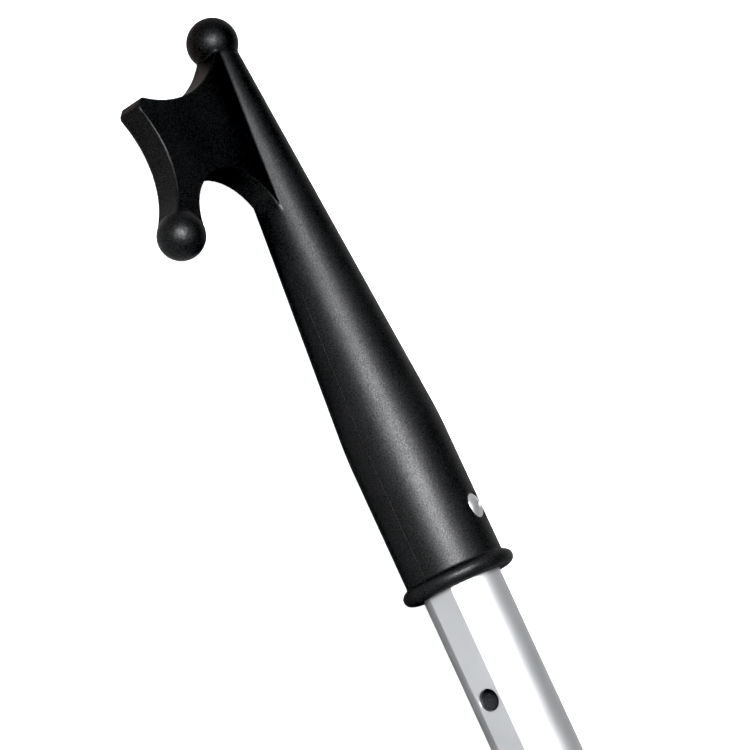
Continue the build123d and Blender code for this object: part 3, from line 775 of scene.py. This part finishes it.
# The fill's strength at the middle of the studio and off its two ends. ENDS holds the lengthways part of a
# direction where the ends start and where they are full.
WHITE = (1.0, 1.0, 1.0, 1.0)
FILL_COLOUR = (0.95, 0.97, 1.0, 1.0)
WORLD_FILL = 0.08
END_FILL = 0.35
ENDS = (0.54, 0.68)


def studio_floor():
    """A wide, pale, matt floor that the object lies on. In what the object reflects it has painted shade
    under the object and a warm painted light past the hook.
    """
    h = FLOOR_HALF
    mesh = bpy.data.meshes.new("floor")
    mesh.from_pydata([(-h, -h, 0), (h, -h, 0), (h, h, 0), (-h, h, 0)], [], [(0, 1, 2, 3)])
    floor = bpy.data.objects.new("floor", mesh)
    bpy.context.collection.objects.link(floor)
    material, t = new_material("floor_paper")
    paper = t.noise(t.stretched(), 900.0, detail=3.0)
    lit = t.add("ShaderNodeBsdfDiffuse", {"Color": t.patches(paper, PAPER, PAPER_LIGHTER, 0.3, 0.7)})
    glow = t.add("ShaderNodeEmission", {"Color": WHITE, "Strength": FLOOR_GLOW})
    bright = t.add("ShaderNodeAddShader", {0: lit.outputs[0], 1: glow.outputs[0]})
    place = t.add("ShaderNodeSeparateXYZ", {0: t.stretched()}).outputs
    front = t.remap(place["Y"], *FRONT_OPEN, 0.0, 1.0)
    behind = t.remap(place["Y"], *BEHIND_OPEN, 0.0, 1.0)
    # Painted shade: the floor is darker under the object, seen only in what the object reflects.
    painted_bounce = t.mix(t.math("MAXIMUM", front, behind), PAINTED_SHADE_UNDER, OPEN_BOUNCE)
    # Painted light: a warm, brighter floor past the hook's tip, seen only in what the object reflects.
    painted_bounce = t.mix(t.remap(place["X"], *TIP_OPEN, 0.0, 1.0), painted_bounce, PAINTED_WARM_LIGHT_PAST_TIP)
    dim = t.add("ShaderNodeBsdfDiffuse", {"Color": painted_bounce})
    seen = t.add("ShaderNodeLightPath").outputs["Is Camera Ray"]
    both = t.add("ShaderNodeMixShader", {0: seen, 1: dim.outputs[0], 2: bright.outputs[0]})
    out = t.add("ShaderNodeOutputMaterial")
    t.tree.links.new(both.outputs[0], out.inputs["Surface"])
    mesh.materials.append(material)


def studio_world():
    """White where the camera looks past the floor, and a dim fill for the object, brighter off its ends."""
    world = bpy.data.worlds.new("studio")
    bpy.context.scene.world = world
    world.use_nodes = True
    t = Tree(world.node_tree)
    way = t.add("ShaderNodeTexCoord").outputs["Generated"]
    lengthways = t.math("ABSOLUTE", t.add("ShaderNodeSeparateXYZ", {0: way}).outputs["X"])
    strength = t.remap(lengthways, *ENDS, WORLD_FILL, END_FILL)
    fill = t.add("ShaderNodeBackground", {"Color": FILL_COLOUR, "Strength": strength})
    white = t.add("ShaderNodeBackground", {"Color": WHITE, "Strength": 1.0})
    seen = t.add("ShaderNodeLightPath").outputs["Is Camera Ray"]
    both = t.add("ShaderNodeMixShader", {0: seen, 1: fill.outputs[0], 2: white.outputs[0]})
    out = t.add("ShaderNodeOutputWorld")
    t.tree.links.new(both.outputs[0], out.inputs["Surface"])


def softbox(name, way, distance, size, power, at=aim, colour=(1.0, 1.0, 1.0), spread=180.0):
    """A rectangular area light, in metres, watts and degrees, that faces a point from that way."""
    data = bpy.data.lights.new(name, "AREA")
    data.shape = "RECTANGLE"
    data.size, data.size_y = size
    data.energy = power
    data.color = colour
    data.spread = math.radians(spread)
    lamp = bpy.data.objects.new(name, data)
    bpy.context.collection.objects.link(lamp)
    way = Vector(way).normalized()
    lamp.location = at + way * distance
    lamp.rotation_mode = "QUATERNION"
    lamp.rotation_quaternion = way.to_track_quat("Z", "Y")
    lamp.visible_camera = False


studio_floor()
studio_world()
softbox(
    "key",
    way=(0.14, 0.764, 0.630),
    distance=1.6,
    size=(0.5, 0.9),
    power=30.5,
    at=MOUTH + Vector((0.12, 0.02, 0.0)),
    colour=(0.95, 0.98, 1.03),
)
softbox(
    "gridded", way=(0.07, 0.665, 0.765), distance=0.6, size=(0.3, 0.4), power=0.72, at=MOUTH, spread=26.0
)
softbox("top", way=(0.0, 0.1, 1.0), distance=2.2, size=(2.4, 1.0), power=4.0)
softbox("back", way=(0.15, -1.0, 0.15), distance=3.0, size=(4.0, 0.7), power=8.0)
